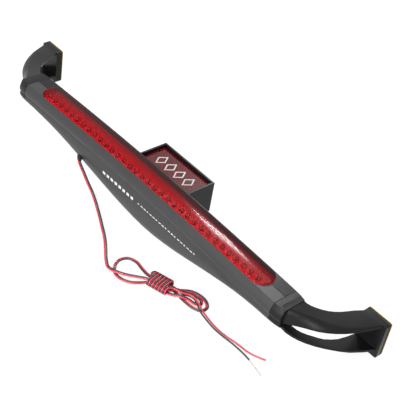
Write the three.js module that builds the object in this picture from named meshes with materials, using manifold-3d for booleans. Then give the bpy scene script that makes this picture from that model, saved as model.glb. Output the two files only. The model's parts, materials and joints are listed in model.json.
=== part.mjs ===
// A third brake light for a rear window: a long LED bar with a stop box and two padded swivel arms.
// Millimetres, +Z up. The lamp lies on its back: X runs along the bar, Z points out of the lens,
// and Y points from the belly of the bar to the adhesive pads. Z = 0 is the surface it lies on.
import * as THREE from "three";
import { mergeVertices } from "three/addons/utils/BufferGeometryUtils.js";
import Module from "manifold-3d";

const wasm = await Module();
wasm.setup();

// Driving sizes
const gap = 0.3; // between pieces that touch
const wall = 2; // moulded wall of the bar and the stop box
const barHalfLength = 189; // from the middle of the bar to the arm's seam
const frontHeight = 49.5; // front of the bar at the middle, over the surface it lies on
const frontBow = 4.4; // how far the front falls towards the ends
const backRise = 24.7; // how far the back edge rises towards the ends
const bellyApexX = 17; // where the belly is deepest
const rimY = -5.8; // pad side of the bar
const lensLowY = -32; // belly side of the lens
const shoulderY = -36.4; // proudest line of the belly
const partingY = -19.4; // where the two shells meet
const lensHalfLength = 171;
const lensThickness = 2.2;
const lensCrown = 2;
const rimWidth = 1.2; // of the shell beside the lens, on the pad side
const endWall = 3;
const sideWall = 1.3 * wall; // on the pad side
const ledCount = 35;
const ledPitch = 9.8;
const ledRadius = 2.5;
const ledHeight = 6;
const ledsPerBank = 5;
const boardDrop = 12.5; // from the front down to the face that the lamps stand on
const boardTop = frontHeight - boardDrop;
const boardWidth = 13;
const boardThickness = 1.6;
const screwRadius = 1.4;
const headRadius = 2.6;
const headHeight = 1.6;
const boxHalfLength = 37.5; // stop box, along X
const boxFarY = 32;
const boxDrop = 5.3; // from the front of the bar down to the front of the box
const boxFront = frontHeight - boxDrop;
const boxBack = 9;
const boxCover = 3;
const windowRecess = 3.5;
const swivelRadius = 3.2; // trunnion of an arm
const swivelDrop = 12; // from the front of the bar down to the swivels
const swivelZ = frontHeight - swivelDrop;
const washerRadius = 4.4;
const washerThickness = 1;
const armLength = 72.5; // from the end of the bar to the outermost X of a pad
const armReach = barHalfLength + armLength;
const padLength = 27; // along X
const padHeight = 39; // along Z
const padThickness = 3;
const padCorner = 2;
const flangeThickness = 4.3;
const linerThickness = 0.3;
const linerFaceY = 43.4;
const plateThickness = 2.6; // of an arm's two plates
const wireRadius = 0.85;

const root = new THREE.Group();

// Solids

function solidOf(geometry) {
  const plain = geometry.index ? geometry.toNonIndexed() : geometry.clone();
  plain.deleteAttribute("normal");
  plain.deleteAttribute("uv");
  const merged = mergeVertices(plain, 1e-4);
  const triVerts = new Uint32Array(merged.index.array);
  const vertProperties = merged.attributes.position.array;
  const made = new wasm.Manifold(new wasm.Mesh({ numProp: 3, vertProperties, triVerts }));
  if (made.volume() > 0) return made;
  // A map that mirrors the shape turns its faces inwards, so each face is turned round.
  for (let i = 0; i < triVerts.length; i += 3)
    [triVerts[i + 1], triVerts[i + 2]] = [triVerts[i + 2], triVerts[i + 1]];
  return new wasm.Manifold(new wasm.Mesh({ numProp: 3, vertProperties, triVerts }));
}

// Cuts leave slivers, so edges shorter than this are closed up.
const shortestEdge = 0.01;
function geometryOf(solid) {
  const mesh = solid.simplify(shortestEdge).getMesh();
  const geometry = new THREE.BufferGeometry();
  geometry.setAttribute("position", new THREE.BufferAttribute(mesh.vertProperties, 3));
  geometry.setIndex(new THREE.BufferAttribute(mesh.triVerts, 1));
  geometry.computeVertexNormals();
  return geometry;
}

function box(lowX, highX, lowY, highY, lowZ, highZ) {
  const geometry = new THREE.BoxGeometry(highX - lowX, highY - lowY, highZ - lowZ);
  geometry.translate((lowX + highX) / 2, (lowY + highY) / 2, (lowZ + highZ) / 2);
  return solidOf(geometry);
}

// A box whose three directions, each from 0 to 1, are bent by place(u, v, w).
function bentBox(uSteps, vSteps, wSteps, place) {
  const geometry = new THREE.BoxGeometry(1, 1, 1, uSteps, vSteps, wSteps);
  const position = geometry.attributes.position;
  for (let i = 0; i < position.count; i++)
    position.setXYZ(i, ...place(position.getX(i) + 0.5, position.getY(i) + 0.5, position.getZ(i) + 0.5));
  return solidOf(geometry);
}

// A round piece along an axis, from a profile of [radius, distance] that starts and ends on the axis.
function turned(profile, sides, origin, axis) {
  const geometry = new THREE.LatheGeometry(profile.map(([r, h]) => new THREE.Vector2(r, h)), sides);
  const turn = new THREE.Quaternion();
  turn.setFromUnitVectors(new THREE.Vector3(0, 1, 0), new THREE.Vector3(...axis).normalize());
  geometry.applyQuaternion(turn);
  geometry.translate(...origin);
  return solidOf(geometry);
}

function rod(radius, from, to, sides = 12) {
  const run = new THREE.Vector3(...to).sub(new THREE.Vector3(...from));
  const profile = [[0, 0], [radius, 0], [radius, run.length()], [0, run.length()]];
  return turned(profile, sides, from, run.toArray());
}

function joined(solids) {
  return solids.reduce((all, solid) => all.add(solid));
}

function add(name, solid, material) {
  const mesh = new THREE.Mesh(solid.isBufferGeometry ? solid : geometryOf(solid), material);
  mesh.name = name;
  root.add(mesh);
}

function finish(color, roughness, metalness = 0) {
  return new THREE.MeshStandardMaterial({ color, roughness, metalness });
}

const blackPlastic = finish(0x2b2b2c, 0.5);
const redLens = finish(0xc01018, 0.12);
const smokedRed = finish(0x4a1014, 0.2);
const redReflector = finish(0x9a1519, 0.35);
const clearLed = finish(0xd83038, 0.2);
const boardGreen = finish(0x1f4a2c, 0.6);
const ceramic = finish(0xb8a888, 0.6);
const zincSteel = finish(0x9a9a98, 0.35, 0.9);
const foam = finish(0x1c1c1c, 0.95);
const yellowLiner = finish(0xd8b23a, 0.6);
const redWire = finish(0xb8202a, 0.45);
const blackWire = finish(0x1d1b1b, 0.45);
const tinned = finish(0xb9b7b0, 0.35, 0.9);
const rubber = finish(0x3a3a3a, 0.8);

// The bar: one section whose front bows and whose back edge rises along X

const frontZ = (x) => frontHeight - frontBow * (x / barHalfLength) ** 2;
function backZ(x) {
  const run = Math.abs(x - bellyApexX) / (barHalfLength - Math.sign(x - bellyApexX) * bellyApexX);
  return (backRise / 2) * (1 - Math.cos(Math.PI * Math.min(1, run) ** 0.9));
}

// Section at x, set in by t. A t of wall gives the hollow, and -gap what must stay clear of the bar.
function barSection(x, t) {
  const front = frontZ(x) - t;
  const back = backZ(x) + (t > 0 ? 1.5 * t : t);
  const depth = front - back;
  const low = depth - 14.5;
  const right = (t * sideWall) / wall;
  return [
    [rimY - right, front],
    [lensLowY - 0.6 + t, front],
    [shoulderY + 1.8 + t, front - 3.5],
    [shoulderY + 0.5 + t, front - 7],
    [shoulderY + t, front - 10],
    [shoulderY + 0.5 + t, front - 12],
    [shoulderY + 1.4 + t, front - 13.4],
    [shoulderY + 1.0 + t, front - 14.5],
    [shoulderY + 0.6 + t, back + 0.6 * low],
    [shoulderY + 1.3 + t, back + 0.2 * low],
    [shoulderY + 2.6 + t, back + 0.05 * low],
    [shoulderY + 4.4 + 0.1 * t, back],
    [shoulderY + 7.4 - right, back + 0.03 * depth],
    [shoulderY + 10.4 - right, back + 0.1 * depth],
    [rimY - 16.2 - right, back + 0.22 * depth],
    [rimY - 5.2 - right, back + 0.45 * depth],
    [rimY - 1.2 - right, back + 0.56 * depth],
    [rimY - right, back + 0.66 * depth],
  ];
}

// A solid through a section at even steps of x.
function loft(fromX, toX, steps, sectionAt) {
  const sides = sectionAt(fromX).length;
  const geometry = new THREE.CylinderGeometry(1, 1, 1, sides, steps);
  const position = geometry.attributes.position;
  for (let i = 0; i < position.count; i++) {
    const [a, h, b] = [position.getX(i), position.getY(i), position.getZ(i)];
    const x = fromX + (toX - fromX) * (h + 0.5);
    const ring = sectionAt(x);
    const middle = ring.reduce(([y, z], p) => [y + p[0] / sides, z + p[1] / sides], [0, 0]);
    const step = Math.round((Math.atan2(a, b) / (2 * Math.PI)) * sides + sides) % sides;
    const [y, z] = Math.hypot(a, b) > 0.5 ? ring[step] : middle;
    position.setXYZ(i, x, y, z);
  }
  return solidOf(geometry);
}

const barSteps = 24;
const barOuter = loft(-barHalfLength, barHalfLength, barSteps, (x) => barSection(x, 0));
const cavityEnd = barHalfLength - endWall;
const barInner = loft(-cavityEnd, cavityEnd, barSteps, (x) => barSection(x, wall));
const barClear = loft(-barHalfLength, barHalfLength, barSteps, (x) => barSection(x, -gap));

// The lens: a crowned plate with round ends, seated in a window of the same outline

const lensHighY = rimY - rimWidth;
const lensMiddleY = (lensLowY + lensHighY) / 2;
const lensHalfWidth = (lensHighY - lensLowY) / 2;

function lensOutline(grow, lowZ, highZ) {
  const radius = lensHalfWidth + grow;
  const straight = lensHalfLength - lensHalfWidth;
  const shape = new THREE.Shape();
  shape.absarc(straight, 0, radius, -Math.PI / 2, Math.PI / 2);
  shape.absarc(-straight, 0, radius, Math.PI / 2, (3 * Math.PI) / 2);
  const depth = highZ - lowZ;
  const geometry = new THREE.ExtrudeGeometry(shape, { depth, bevelEnabled: false, curveSegments: 8 });
  geometry.translate(0, lensMiddleY, lowZ);
  return solidOf(geometry);
}

// A plate that follows the front of the bar, from low(x, side) to high(x, side). Side runs across the
// lens, from -1 to 1.
function frontPlate(reach, acrossSteps, low, high) {
  return bentBox(barSteps, acrossSteps, 1, (u, v, w) => {
    const x = (2 * u - 1) * reach;
    const side = 2 * v - 1;
    const across = lensMiddleY + side * (lensHalfWidth + 2);
    return [x, across, w < 0.5 ? low(x, side) : high(x, side)];
  });
}

const crown = (side) => lensCrown * (1 - Math.min(1, Math.abs(side)) ** 2);
const lensReach = lensHalfLength + 2;
const lensPlate = frontPlate(
  lensReach,
  8,
  (x, side) => frontZ(x) - lensThickness + crown(side),
  (x, side) => frontZ(x) + crown(side)
);
add("main_lens", lensPlate.intersect(lensOutline(0, boardTop, frontHeight + 2 * lensCrown)), redLens);
const windowCut = frontPlate(
  lensReach,
  1,
  (x) => frontZ(x) - lensThickness - gap,
  (x) => frontZ(x) + 3
).intersect(lensOutline(gap, boardTop, frontHeight + 2 * lensCrown));

// Lamps, their board and the reflector that they stand in

const boardHalfLength = ((ledCount - 1) * ledPitch) / 2 + ledRadius + 1.5;
const boardBottom = boardTop - boardThickness;
const ledX = (n) => (n - (ledCount - 1) / 2) * ledPitch;
add(
  "led_board",
  box(
    -boardHalfLength,
    boardHalfLength,
    lensMiddleY - boardWidth / 2,
    lensMiddleY + boardWidth / 2,
    boardBottom,
    boardTop
  ),
  boardGreen
);

function led(x, y, z, height) {
  const shoulder = height - 0.7 * ledRadius;
  const dome = [[0.6 * ledRadius, height - 0.2], [0, height]];
  const profile = [[0, 0], [ledRadius, 0], [ledRadius, shoulder], ...dome];
  return turned(profile, 6, [x, y, z], [0, 0, 1]);
}

const stripHalfWidth = 1.5; // of the spacer strip that joins the lamps of a bank
const stripThickness = 0.8;
function ledBank(xs, y, z, height) {
  const strip = box(xs[0], xs[xs.length - 1], y - stripHalfWidth, y + stripHalfWidth, z, z + stripThickness);
  return joined([strip, ...xs.map((x) => led(x, y, z, height))]);
}

for (let bank = 0; bank < ledCount / ledsPerBank; bank++) {
  const xs = Array.from({ length: ledsPerBank }, (_, n) => ledX(bank * ledsPerBank + n));
  add("led_bank_" + (bank + 1), ledBank(xs, lensMiddleY, boardTop + gap, ledHeight), clearLed);
}

const reflectorFloor = boardTop + gap + stripThickness + gap;
const reflectorThickness = 0.8;
const reflectorReach = lensHalfLength - 1.5;
const reflectorHalfWidth = lensHalfWidth + rimWidth - sideWall - gap;
const reflectorRim = (x) => frontZ(x) - lensThickness - 2.4;
const flatShare = 0.35; // of the reflector's width, before its sides rise
function reflectorZ(x, side) {
  const rise = Math.max(0, (Math.abs(side) - flatShare) / (1 - flatShare));
  return reflectorFloor + (reflectorRim(x) - reflectorFloor) * rise;
}
const reflectorTray = bentBox(barSteps, 6, 1, (u, v, w) => {
  const x = (2 * u - 1) * reflectorReach;
  const side = 2 * v - 1;
  return [x, lensMiddleY + side * reflectorHalfWidth, reflectorZ(x, side) + w * reflectorThickness];
});
const ledHoles = Array.from({ length: ledCount }, (_, n) =>
  rod(ledRadius + 2 * gap, [ledX(n), lensMiddleY, boardTop], [ledX(n), lensMiddleY, boardTop + ledHeight], 6)
);
add("reflector", reflectorTray.subtract(joined(ledHoles)), redReflector);

const partHalf = 1.6; // half width of a board part
function boardPart(name, x, length, height, material) {
  const top = boardBottom - gap;
  const [lowY, highY] = [lensMiddleY - partHalf, lensMiddleY + partHalf];
  add(name, box(x - length / 2, x + length / 2, lowY, highY, top - height, top), material);
}
[-112, -56, 56, 112].forEach((x, n) => boardPart("resistor_" + (n + 1), x, 6.4, 2, ceramic));
boardPart("diode", 20, 4.6, 2.2, rubber);

// Screws that hold the shells together, each in a boss of both shells

const bossRadius = 3;
const shellScrewX = [-165, -110, -50, 50, 110, 165];
const ribX = [-145, -80, -10, 10, 80, 145];
const shellScrewZ = (x) => backZ(x) + 0.36 * (frontZ(x) - backZ(x));
const screwTipY = shoulderY + wall + 2.5;
const headSeatY = partingY + 1.6; // where a screw head bears
const barBosses = joined(
  shellScrewX.map((x) => rod(bossRadius, [x, shoulderY, shellScrewZ(x)], [x, rimY, shellScrewZ(x)], 10))
).intersect(barOuter);
const ribHalf = 0.8;
const ribs = joined(
  ribX.map((x) => box(x - ribHalf, x + ribHalf, shoulderY, rimY, -1, boardBottom - gap))
).intersect(barOuter);
const screwClearance = joined(
  shellScrewX.flatMap((x) => {
    const z = shellScrewZ(x);
    return [
      rod(screwRadius + gap, [x, screwTipY - gap, z], [x, rimY, z], 8),
      rod(headRadius + gap, [x, headSeatY, z], [x, rimY + 1, z], 8),
    ];
  })
);

function screw(origin, axis, length) {
  const head = [[0, 0], [headRadius * 0.8, 0], [headRadius, 0.5], [headRadius, headHeight]];
  const shank = [[screwRadius, headHeight], [screwRadius, headHeight + length], [0, headHeight + length]];
  return turned([...head, ...shank], 8, origin, axis);
}

shellScrewX.forEach((x, n) => {
  const from = [x, headSeatY + gap + headHeight, shellScrewZ(x)];
  add("shell_screw_" + (n + 1), screw(from, [0, -1, 0], headSeatY + gap - screwTipY), zincSteel);
});

// The arms' trunnions turn in a hole through each end wall, half in each shell

const shaftEnd = cavityEnd - 1.5;
const washerFar = shaftEnd - gap;
const washerNear = washerFar - washerThickness;
const swivelHeadNear = washerNear - gap - headHeight;
const swivelHoles = joined(
  [-1, 1].flatMap((side) => [
    rod(
      swivelRadius + gap,
      [side * (cavityEnd - 1), partingY, swivelZ],
      [side * (barHalfLength + 1), partingY, swivelZ]
    ),
    rod(
      washerRadius + gap,
      [side * (swivelHeadNear - gap), partingY, swivelZ],
      [side * cavityEnd, partingY, swivelZ]
    ),
  ])
);

// Screws that hold the stop box, from inside the bar through its pad side wall

const bracketX = [-24, 24];
const bracketZ = boardBottom + 0.2;
const bracketTipY = rimY + gap + 2.6;
const bracketHeadY = rimY - sideWall - gap;
const bracketHoles = joined(
  bracketX.map((x) => rod(screwRadius + gap, [x, rimY - 8, bracketZ], [x, bracketTipY + gap, bracketZ], 10))
);

// The cable leaves through the belly

const cableX = -89;
const cableZ = 16.6;
const cableAxis = [0.8, -0.6, 0];
const cableWallY = shoulderY + 0.9;
const grommetRadius = 2.6;
const cableStart = (distance) => cableAxis.map((a, i) => [cableX, cableWallY, cableZ][i] + a * distance);
const cableHole = rod(grommetRadius + gap, cableStart(-6), cableStart(4), 12);

const hollow = barOuter.subtract(barInner).add(barBosses).add(ribs);
const shellStock = [windowCut, screwClearance, swivelHoles, bracketHoles, cableHole].reduce(
  (rest, cut) => rest.subtract(cut),
  hollow
);
const farX = barHalfLength + 10;
const farZ = frontHeight + 20;
const bellySide = box(-farX, farX, shoulderY - 5, partingY - gap / 2, -5, farZ);
const backSide = box(-farX, farX, partingY + gap / 2, rimY + 5, -5, farZ);
add("belly_shell", shellStock.intersect(bellySide), blackPlastic);
add("back_shell", shellStock.intersect(backSide), blackPlastic);

const grommetIn = 4; // how far the grommet reaches inside the wall
const grommetOut = 4;
const grommetProfile = [
  [0, -grommetIn],
  [grommetRadius, -grommetIn],
  [grommetRadius, 1.2],
  [grommetRadius - 0.5, grommetOut],
  [0, grommetOut],
];
add("cable_grommet", turned(grommetProfile, 12, [cableX, cableWallY, cableZ], cableAxis), rubber);

// The stop box: a housing open at the front and back, seated on the pad side of the bar

const boxNearY = rimY - 8; // hidden in the curve of the bar
const rimNearY = rimY + gap + 2; // inside of the near rim
const rimFarY = boxFarY - wall;
const rimHalfLength = boxHalfLength - wall;
const ledge = 1.2;
const windowThickness = 2;
const ledgeZ = boxFront - windowRecess - windowThickness - gap;
const coverTop = boxBack + boxCover;
const innerNearY = rimNearY + ledge;
const innerFarY = rimFarY - ledge;
const innerHalfLength = rimHalfLength - ledge;
const stopBoardTop = 23.6;
const postSize = 6;
const postTop = stopBoardTop - boardThickness - gap;
const postRoot = 0.6; // how deep a post runs into the walls beside it
const posts = [-1, 1].flatMap((side) =>
  [
    [innerNearY - postRoot, innerNearY + postSize],
    [innerFarY - postSize, innerFarY + postRoot],
  ].map(([lowY, highY]) => {
    const near = side * (innerHalfLength + postRoot);
    const far = side * (innerHalfLength - postSize);
    return box(Math.min(near, far), Math.max(near, far), lowY, highY, coverTop + gap, postTop);
  })
);
const postCentres = [-1, 1].flatMap((side) =>
  [innerNearY, innerFarY - postSize].map((y) => [side * (innerHalfLength - postSize / 2), y + postSize / 2])
);
const stopScrewTip = coverTop + 7;
const stopScrewHoles = joined(
  postCentres.map(([x, y]) => rod(screwRadius + gap, [x, y, boxBack - 1], [x, y, stopScrewTip + gap], 10))
);
const stopHousing = box(-boxHalfLength, boxHalfLength, boxNearY, boxFarY, coverTop + gap, boxFront)
  .subtract(box(-rimHalfLength, rimHalfLength, rimNearY, rimFarY, ledgeZ, boxFront + 1))
  .subtract(box(-innerHalfLength, innerHalfLength, innerNearY, innerFarY, coverTop - 1, boxFront))
  .add(joined(posts))
  .subtract(stopScrewHoles)
  .subtract(bracketHoles)
  .subtract(barClear);
add("stop_housing", stopHousing, blackPlastic);

const headSink = headHeight + gap;
const coverHeadHoles = joined(
  postCentres.map(([x, y]) => rod(headRadius + gap, [x, y, boxBack - 1], [x, y, boxBack + headSink], 10))
);
add(
  "stop_back_cover",
  box(-boxHalfLength, boxHalfLength, boxNearY, boxFarY, boxBack, coverTop)
    .subtract(stopScrewHoles)
    .subtract(coverHeadHoles)
    .subtract(barClear),
  blackPlastic
);
postCentres.forEach(([x, y], n) => {
  const length = stopScrewTip - boxBack - headHeight;
  add("stop_cover_screw_" + (n + 1), screw([x, y, boxBack], [0, 0, 1], length), zincSteel);
});
bracketX.forEach((x, n) => {
  const from = [x, bracketHeadY - headHeight, bracketZ];
  add("stop_bracket_screw_" + (n + 1), screw(from, [0, 1, 0], bracketTipY - bracketHeadY), zincSteel);
});

add(
  "stop_window",
  box(
    -rimHalfLength + gap,
    rimHalfLength - gap,
    rimNearY + gap,
    rimFarY - gap,
    ledgeZ + gap,
    ledgeZ + gap + windowThickness
  ),
  smokedRed
);
const legendThickness = 0.8;
add(
  "stop_legend",
  box(
    -innerHalfLength + gap,
    innerHalfLength - gap,
    innerNearY + gap,
    innerFarY - gap,
    ledgeZ - legendThickness,
    ledgeZ
  ),
  smokedRed
);
add(
  "stop_led_board",
  box(
    -innerHalfLength + gap,
    innerHalfLength - gap,
    innerNearY + gap,
    innerFarY - gap,
    stopBoardTop - boardThickness,
    stopBoardTop
  ),
  boardGreen
);
const stopLedColumns = 6;
const stopLedPitch = 10.5;
const stopRows = [innerNearY + 6.5, innerFarY - 6.5];
stopRows.forEach((y, row) => {
  const xs = Array.from({ length: stopLedColumns }, (_, n) => (n - (stopLedColumns - 1) / 2) * stopLedPitch);
  add("stop_led_bank_" + (row + 1), ledBank(xs, y, stopBoardTop + gap, ledHeight), clearLed);
});

// An arm: a neck as deep as the bar's end, then two curved plates that meet again at the pad flange

const flangeFaceY = linerFaceY - linerThickness - padThickness - 2 * gap;
const flangeBackY = flangeFaceY - flangeThickness;
const padInner = armReach - padLength;
const neckLength = 12;
const neckStart = barHalfLength + gap;
const seamFront = frontZ(barHalfLength);
const seamBack = backZ(barHalfLength);
const seamMiddleY = (rimY + shoulderY) / 2;

// A curve in plan through the given points and into the flange, read from 0 to 1. Each point is
// [distance beyond the end of the bar, y].
function planCurve(points) {
  const at = points.map(([x, y]) => new THREE.Vector3(barHalfLength + x, y, 0));
  const curve = new THREE.CatmullRomCurve3(at, false, "centripetal");
  return (u) => curve.getPoint(u);
}

const flangeMeet = flangeBackY + 1;
const padStart = armLength - padLength;
const innerEdge = planCurve([
  [7, -7.5],
  [15, -7.3],
  [23, -2.8],
  [31, 4.6],
  [37, 14],
  [42, 26],
  [padStart + 2, flangeMeet],
]);
const creaseEdge = planCurve([
  [6, -29],
  [17, -22.6],
  [28, -13],
  [39, -2.8],
  [50, 8.2],
  [61, 20],
  [padStart + 23, flangeMeet],
]);
const lipEdge = planCurve([
  [6, -33],
  [17, -26.6],
  [28, -20.2],
  [39, -14.4],
  [50, -4.5],
  [60.5, 11.5],
  [padStart + 24, flangeMeet],
]);
const backInnerEdge = planCurve([
  [6, -19],
  [16, -20.5],
  [24, -15.6],
  [31, -7.5],
  [37, 0.5],
  [43, 14],
  [padStart + 1, flangeMeet],
]);
const backOuterEdge = planCurve([
  [6, -31],
  [17, -29.2],
  [28, -23],
  [39, -13],
  [49, -1],
  [59, 13],
  [padStart + 25, flangeMeet],
]);
const lipDrop = 18; // of the lip's edge under the front plate, at the neck
const backPlateEnd = 7; // height of the back plate where it meets the flange
const frontPlateZ = (u) => padHeight + (seamFront - padHeight) * (1 - u) ** 1.6;
const backPlateZ = (u) => seamBack * (1 - u) ** 1.25 + backPlateEnd * u;
const armSteps = 12;

// A plate of the pad's outline, with round corners, from lowY to highY.
function padPlate(lowY, highY) {
  const [low, high] = [padCorner, padLength - padCorner];
  const shape = new THREE.Shape();
  shape.absarc(high, padHeight - padCorner, padCorner, 0, Math.PI / 2);
  shape.absarc(low, padHeight - padCorner, padCorner, Math.PI / 2, Math.PI);
  shape.absarc(low, padCorner, padCorner, Math.PI, (3 * Math.PI) / 2);
  shape.absarc(high, padCorner, padCorner, (3 * Math.PI) / 2, 2 * Math.PI);
  const depth = highY - lowY;
  const geometry = new THREE.ExtrudeGeometry(shape, { depth, bevelEnabled: false, curveSegments: 3 });
  geometry.rotateX(Math.PI / 2);
  geometry.translate(padInner, highY, 0);
  return solidOf(geometry);
}

function armSolid() {
  const neck = loft(neckStart, neckStart + neckLength, 2, (x) =>
    barSection(barHalfLength, 0).map(([y, z]) => {
      const taper = 1 - 0.1 * ((x - neckStart) / neckLength) ** 2;
      return [seamMiddleY + (y - seamMiddleY) * taper, seamBack + (z - seamBack) * (0.9 + 0.1 * taper)];
    })
  );
  const front = bentBox(armSteps, 1, 1, (u, v, w) => {
    const edge = innerEdge(u).lerp(creaseEdge(u), v);
    return [edge.x, edge.y, frontPlateZ(u) - w * plateThickness];
  });
  const lip = bentBox(armSteps, 4, 1, (u, v, w) => {
    const edge = creaseEdge(u).lerp(lipEdge(u), Math.sin((v * Math.PI) / 2));
    const inward = innerEdge(u).sub(edge).setZ(0).normalize().multiplyScalar(w * plateThickness);
    const fullDrop = plateThickness + (lipDrop - plateThickness) * (1 - u) ** 1.5;
    const drop = fullDrop * (1 - Math.cos((v * Math.PI) / 2));
    return [edge.x + inward.x, edge.y + inward.y, frontPlateZ(u) - drop - w * 0.9 * plateThickness * (1 - v)];
  });
  const back = bentBox(armSteps, 1, 1, (u, v, w) => {
    const edge = backInnerEdge(u).lerp(backOuterEdge(u), v);
    return [edge.x, edge.y, backPlateZ(u) + w * plateThickness];
  });
  const flange = padPlate(flangeBackY, flangeFaceY);
  const shaft = rod(swivelRadius, [shaftEnd, partingY, swivelZ], [neckStart + 4, partingY, swivelZ]);
  const holeEnd = [neckStart + 3, partingY, swivelZ];
  const screwHole = rod(screwRadius + gap, [shaftEnd - 1, partingY, swivelZ], holeEnd, 8);
  return joined([neck, front, lip, back, flange, shaft]).subtract(screwHole);
}

function washerSolid() {
  const inner = screwRadius + gap;
  const outer = [[washerRadius, 0], [washerRadius, washerThickness]];
  const profile = [[inner, 0], ...outer, [inner, washerThickness], [inner, 0]];
  return turned(profile, 12, [washerNear, partingY, swivelZ], [1, 0, 0]);
}
const swivelScrewSolid = () =>
  screw([swivelHeadNear, partingY, swivelZ], [1, 0, 0], neckStart + 2 - washerNear);
const padSolid = () => padPlate(flangeFaceY + gap, flangeFaceY + gap + padThickness);
const linerSolid = () => padPlate(linerFaceY - linerThickness, linerFaceY);

[["right", 1], ["left", -1]].forEach(([name, side]) => {
  const pieces = [
    ["_arm", armSolid, blackPlastic],
    ["_swivel_washer", washerSolid, zincSteel],
    ["_swivel_screw", swivelScrewSolid, zincSteel],
    ["_foam_pad", padSolid, foam],
    ["_pad_liner", linerSolid, yellowLiner],
  ];
  pieces.forEach(([suffix, make, material]) => {
    const solid = make();
    add(name + suffix, side < 0 ? solid.mirror([1, 0, 0]) : solid, material);
  });
});

// The cable: a red and a black wire side by side, wound into a hank, then a short tail that splits

const wireHeight = wireRadius + 0.05; // of a wire's middle over the surface
const pairGap = 0.5; // between the two wires
const pairHalf = wireRadius + pairGap / 2; // from the middle of the pair to each wire's middle

// The two routes beside a middle line, red on its right hand and black on its left.
function pairOf(points) {
  const at = points.map((p) => new THREE.Vector3(...p));
  return [-1, 1].map((side) =>
    at.map((p, i) => {
      const along = at[Math.min(i + 1, at.length - 1)].clone().sub(at[Math.max(i - 1, 0)]);
      const beside = new THREE.Vector3(-along.y, along.x, 0).normalize();
      return p.clone().addScaledVector(beside, side * pairHalf);
    })
  );
}

function wire(points, steps) {
  const section = new THREE.Shape();
  section.absarc(0, 0, wireRadius, 0, 2 * Math.PI);
  const extrudePath = new THREE.CatmullRomCurve3(points, false, "centripetal");
  return new THREE.ExtrudeGeometry(section, { steps, curveSegments: 4, bevelEnabled: false, extrudePath });
}

// The hank is a long round-ended coil between two middles
const hankStart = [55.5, -84];
const hankEnd = [122, -57.8];
const hankRadius = 12.8;
const hankHeight = 7.6;

// A point out from the hank's round end, at an angle in degrees.
function offHank(middle, degrees, out) {
  const turn = THREE.MathUtils.degToRad(degrees);
  const reach = hankRadius + out;
  return [middle[0] + reach * Math.cos(turn), middle[1] + reach * Math.sin(turn), wireHeight];
}

const leadMiddle = [
  cableStart(grommetOut + gap),
  cableStart(grommetOut + 3),
  [-77.5, -41.4, 14.8],
  [-70.5, -42.8, 11.8],
  [-61, -44.8, 7.8],
  [-50, -47.2, 4.4],
  [-38, -51.4, 1.9],
  [-26, -56.8, wireHeight],
  [-16, -61.7, wireHeight],
  [-6, -66.9, wireHeight],
  [4, -72, wireHeight],
  [13, -77.2, wireHeight],
  [21, -82.6, wireHeight],
  [29, -88.2, wireHeight],
  [35.5, -92, wireHeight],
  offHank(hankStart, 212, gap + 4),
  offHank(hankStart, 212, gap),
];
const [redLead, blackLead] = pairOf(leadMiddle);
add("red_lead", wire(redLead, 28), redWire);
add("black_lead", wire(blackLead, 28), blackWire);

function hankSolid() {
  const run = new THREE.Vector2(...hankEnd).sub(new THREE.Vector2(...hankStart));
  const shape = new THREE.Shape();
  shape.absarc(run.length(), 0, hankRadius, -Math.PI / 2, Math.PI / 2);
  shape.absarc(0, 0, hankRadius, Math.PI / 2, (3 * Math.PI) / 2);
  const depth = hankHeight;
  const geometry = new THREE.ExtrudeGeometry(shape, { depth, bevelEnabled: false, curveSegments: 12 });
  geometry.rotateZ(run.angle());
  geometry.translate(...hankStart, 0);
  return geometry;
}
add("wire_hank", hankSolid(), redWire);

const tailBlack = [
  offHank(hankEnd, -15, gap),
  [144, -62.4, wireHeight],
  [156, -63.6, wireHeight],
  [168, -62.9, wireHeight],
  [176, -61.9, wireHeight],
  [184, -61.4, wireHeight],
  [192, -61.4, wireHeight],
  [200, -61.9, wireHeight],
];
const tailRed = [
  offHank(hankEnd, -4, gap),
  [144.4, -60.1, wireHeight],
  [156.2, -61.3, wireHeight],
  [168, -60.6, wireHeight],
  [176.7, -58.9, wireHeight],
  [184, -57.8, wireHeight],
  [192, -57, wireHeight],
  [200.3, -54.3, wireHeight],
  [208.5, -50.2, wireHeight],
];
const tipBlack = [218.4, -65.4];
const tipRed = [224.8, -44];
const coreRadius = 0.5; // bare tinned wire at the ends
[
  ["black", tailBlack, tipBlack, 10, blackWire],
  ["red", tailRed, tipRed, 11, redWire],
].forEach(([name, points, tip, steps, material]) => {
  add(name + "_tail", wire(points.map((p) => new THREE.Vector3(...p)), steps), material);
  const end = new THREE.Vector3(...points[points.length - 1]);
  const out = new THREE.Vector3(...tip, wireHeight).sub(end).normalize();
  const from = end.clone().addScaledVector(out, gap);
  add(name + "_bare_end", rod(coreRadius, from.toArray(), [...tip, wireHeight], 8), tinned);
});

// The origin is under the middle of the lamp, without its cable
root.position.y = -(shoulderY + linerFaceY) / 2;

export default root;
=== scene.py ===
import json
import math

import bpy
from mathutils import Matrix, Vector


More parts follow.
